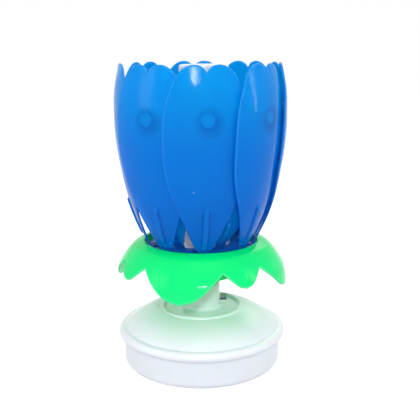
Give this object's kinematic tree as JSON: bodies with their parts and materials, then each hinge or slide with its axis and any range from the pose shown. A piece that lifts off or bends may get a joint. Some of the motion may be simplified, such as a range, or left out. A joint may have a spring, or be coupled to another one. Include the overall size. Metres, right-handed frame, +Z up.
{
  "type": "flower party candle",
  "caption": "Closed lotus-flower party candle: petals fold open round a central fountain, and a motor in the round base turns the flower.",
  "frame": {"origin": "centre of the underside of the base", "axes": "+Z up along the spindle, -Y towards the front as pictured"},
  "size_m": [0.0706, 0.0706, 0.1247],
  "materials": {
    "petal_blue": "glossy, slightly translucent",
    "calyx_green": "glossy",
    "white_plastic": "satin",
    "clear_plastic": "clear",
    "candle_wax": "waxy",
    "fountain_paper": "rolled paper",
    "fuse_cord": "twisted paper",
    "steel": "plain",
    "cell_steel": "bright nickel",
    "buzzer_brass": "plain",
    "gear_brass": "plain",
    "gear_plastic": "natural acetal",
    "bush_plastic": "natural acetal",
    "board_laminate": "paper laminate",
    "chip_resin": "resin blob",
    "switch_black": "moulded",
    "wire_cover": "vinyl"
  },
  "bodies": {
    "base": {"base_cup": "white_plastic", "base_cover": "white_plastic", "battery_door": "white_plastic", "door_screw": "steel", "case_screws": "steel", "button_cells": "cell_steel", "cell_contacts": "steel", "circuit_board": "board_laminate", "melody_chip": "chip_resin", "switch_body": "switch_black", "buzzer_disc": "buzzer_brass", "motor": "steel", "gear_axle": "steel", "spindle_bushes": "bush_plastic", "thrust_washer": "bush_plastic", "lead_wires": "wire_cover"},
    "flower_head": {"hub": "white_plastic", "calyx": "calyx_green", "hub_collar": "white_plastic", "outer_petal_ring": "petal_blue", "inner_petal_ring": "petal_blue", "fountain_tube": "fountain_paper", "fountain_fuse": "fuse_cord", "spindle": "steel", "retaining_clip": "steel", "output_gear": "gear_plastic"},
    "fountain_cap": {"fountain_cap": "clear_plastic"},
    "compound_gear": {"compound_gear": "gear_plastic"},
    "motor_rotor": {"motor_pinion": "gear_brass", "motor_shaft": "steel"},
    "switch_slider": {"switch_slider": "switch_black"},
    "outer_petal_1": {"outer_petal_1": "petal_blue", "outer_candle_1": "candle_wax"},
    "outer_petal_2": {"outer_petal_2": "petal_blue", "outer_candle_2": "candle_wax"},
    "outer_petal_3": {"outer_petal_3": "petal_blue", "outer_candle_3": "candle_wax"},
    "outer_petal_4": {"outer_petal_4": "petal_blue", "outer_candle_4": "candle_wax"},
    "outer_petal_5": {"outer_petal_5": "petal_blue", "outer_candle_5": "candle_wax"},
    "outer_petal_6": {"outer_petal_6": "petal_blue", "outer_candle_6": "candle_wax"},
    "outer_petal_7": {"outer_petal_7": "petal_blue", "outer_candle_7": "candle_wax"},
    "outer_petal_8": {"outer_petal_8": "petal_blue", "outer_candle_8": "candle_wax"},
    "inner_petal_1": {"inner_petal_1": "petal_blue", "inner_candle_1": "candle_wax"},
    "inner_petal_2": {"inner_petal_2": "petal_blue", "inner_candle_2": "candle_wax"},
    "inner_petal_3": {"inner_petal_3": "petal_blue", "inner_candle_3": "candle_wax"},
    "inner_petal_4": {"inner_petal_4": "petal_blue", "inner_candle_4": "candle_wax"},
    "inner_petal_5": {"inner_petal_5": "petal_blue", "inner_candle_5": "candle_wax"},
    "inner_petal_6": {"inner_petal_6": "petal_blue", "inner_candle_6": "candle_wax"}
  },
  "joints": [
    {"name": "flower_spin", "type": "hinge", "parent": "base", "child": "flower_head", "pos_m": [0, 0, 0.036], "axis": [0, 0, 1], "continuous": true},
    {"name": "cap_lift", "type": "slide", "parent": "flower_head", "child": "fountain_cap", "axis": [0, 0, 1], "range_m": [0, 0.07]},
    {"name": "compound_gear_spin", "type": "hinge", "parent": "base", "child": "compound_gear", "pos_m": [-0.0105, 0.00606, 0.014], "axis": [0, 0, 1], "continuous": true},
    {"name": "motor_spin", "type": "hinge", "parent": "base", "child": "motor_rotor", "pos_m": [-0.00874, 0.01603, 0.014], "axis": [0, 0, 1], "continuous": true},
    {"name": "switch_slide", "type": "slide", "parent": "base", "child": "switch_slider", "axis": [1, 0, 0], "range_m": [0, 0.002]},
    {"name": "outer_petal_1_fold", "type": "hinge", "parent": "flower_head", "child": "outer_petal_1", "pos_m": [0.00117, -0.02291, 0.0543], "axis": [0.9881, 0.1538, 0], "range_deg": [0, 70]},
    {"name": "outer_petal_2_fold", "type": "hinge", "parent": "flower_head", "child": "outer_petal_2", "pos_m": [0.01703, -0.01537, 0.0543], "axis": [0.5899, 0.8075, 0], "range_deg": [0, 70]},
    {"name": "outer_petal_3_fold", "type": "hinge", "parent": "flower_head", "child": "outer_petal_3", "pos_m": [0.02291, 0.00117, 0.0543], "axis": [-0.1538, 0.9881, 0], "range_deg": [0, 70]},
    {"name": "outer_petal_4_fold", "type": "hinge", "parent": "flower_head", "child": "outer_petal_4", "pos_m": [0.01537, 0.01703, 0.0543], "axis": [-0.8075, 0.5899, 0], "range_deg": [0, 70]},
    {"name": "outer_petal_5_fold", "type": "hinge", "parent": "flower_head", "child": "outer_petal_5", "pos_m": [-0.00117, 0.02291, 0.0543], "axis": [-0.9881, -0.1538, 0], "range_deg": [0, 70]},
    {"name": "outer_petal_6_fold", "type": "hinge", "parent": "flower_head", "child": "outer_petal_6", "pos_m": [-0.01703, 0.01537, 0.0543], "axis": [-0.5899, -0.8075, 0], "range_deg": [0, 70]},
    {"name": "outer_petal_7_fold", "type": "hinge", "parent": "flower_head", "child": "outer_petal_7", "pos_m": [-0.02291, -0.00117, 0.0543], "axis": [0.1538, -0.9881, 0], "range_deg": [0, 70]},
    {"name": "outer_petal_8_fold", "type": "hinge", "parent": "flower_head", "child": "outer_petal_8", "pos_m": [-0.0139, -0.01825, 0.0543], "axis": [0.854, -0.5203, 0], "range_deg": [0, 70]},
    {"name": "inner_petal_1_fold", "type": "hinge", "parent": "flower_head", "child": "inner_petal_1", "pos_m": [0.00822, -0.01545, 0.0553], "axis": [0.8829, 0.4695, 0], "range_deg": [0, 49]},
    {"name": "inner_petal_2_fold", "type": "hinge", "parent": "flower_head", "child": "inner_petal_2", "pos_m": [0.01749, -0.00061, 0.0553], "axis": [0.0349, 0.9994, 0], "range_deg": [0, 49]},
    {"name": "inner_petal_3_fold", "type": "hinge", "parent": "flower_head", "child": "inner_petal_3", "pos_m": [0.00927, 0.01484, 0.0553], "axis": [-0.848, 0.5299, 0], "range_deg": [0, 49]},
    {"name": "inner_petal_4_fold", "type": "hinge", "parent": "flower_head", "child": "inner_petal_4", "pos_m": [-0.00822, 0.01545, 0.0553], "axis": [-0.8829, -0.4695, 0], "range_deg": [0, 49]},
    {"name": "inner_petal_5_fold", "type": "hinge", "parent": "flower_head", "child": "inner_petal_5", "pos_m": [-0.01749, 0.00061, 0.0553], "axis": [-0.0349, -0.9994, 0], "range_deg": [0, 49]},
    {"name": "inner_petal_6_fold", "type": "hinge", "parent": "flower_head", "child": "inner_petal_6", "pos_m": [-0.00927, -0.01484, 0.0553], "axis": [0.848, -0.5299, 0], "range_deg": [0, 49]}
  ],
  "couplings": [
    {"joint": "compound_gear_spin", "follows": "flower_spin", "ratio": -3},
    {"joint": "motor_spin", "follows": "flower_spin", "ratio": 12},
    {"joint": "outer_petal_2_fold", "follows": "outer_petal_1_fold", "ratio": 1},
    {"joint": "outer_petal_3_fold", "follows": "outer_petal_1_fold", "ratio": 1},
    {"joint": "outer_petal_4_fold", "follows": "outer_petal_1_fold", "ratio": 1},
    {"joint": "outer_petal_5_fold", "follows": "outer_petal_1_fold", "ratio": 1},
    {"joint": "outer_petal_6_fold", "follows": "outer_petal_1_fold", "ratio": 1},
    {"joint": "outer_petal_7_fold", "follows": "outer_petal_1_fold", "ratio": 1},
    {"joint": "outer_petal_8_fold", "follows": "outer_petal_1_fold", "ratio": 1},
    {"joint": "inner_petal_1_fold", "follows": "outer_petal_1_fold", "ratio": 0.7},
    {"joint": "inner_petal_2_fold", "follows": "outer_petal_1_fold", "ratio": 0.7},
    {"joint": "inner_petal_3_fold", "follows": "outer_petal_1_fold", "ratio": 0.7},
    {"joint": "inner_petal_4_fold", "follows": "outer_petal_1_fold", "ratio": 0.7},
    {"joint": "inner_petal_5_fold", "follows": "outer_petal_1_fold", "ratio": 0.7},
    {"joint": "inner_petal_6_fold", "follows": "outer_petal_1_fold", "ratio": 0.7}
  ]
}
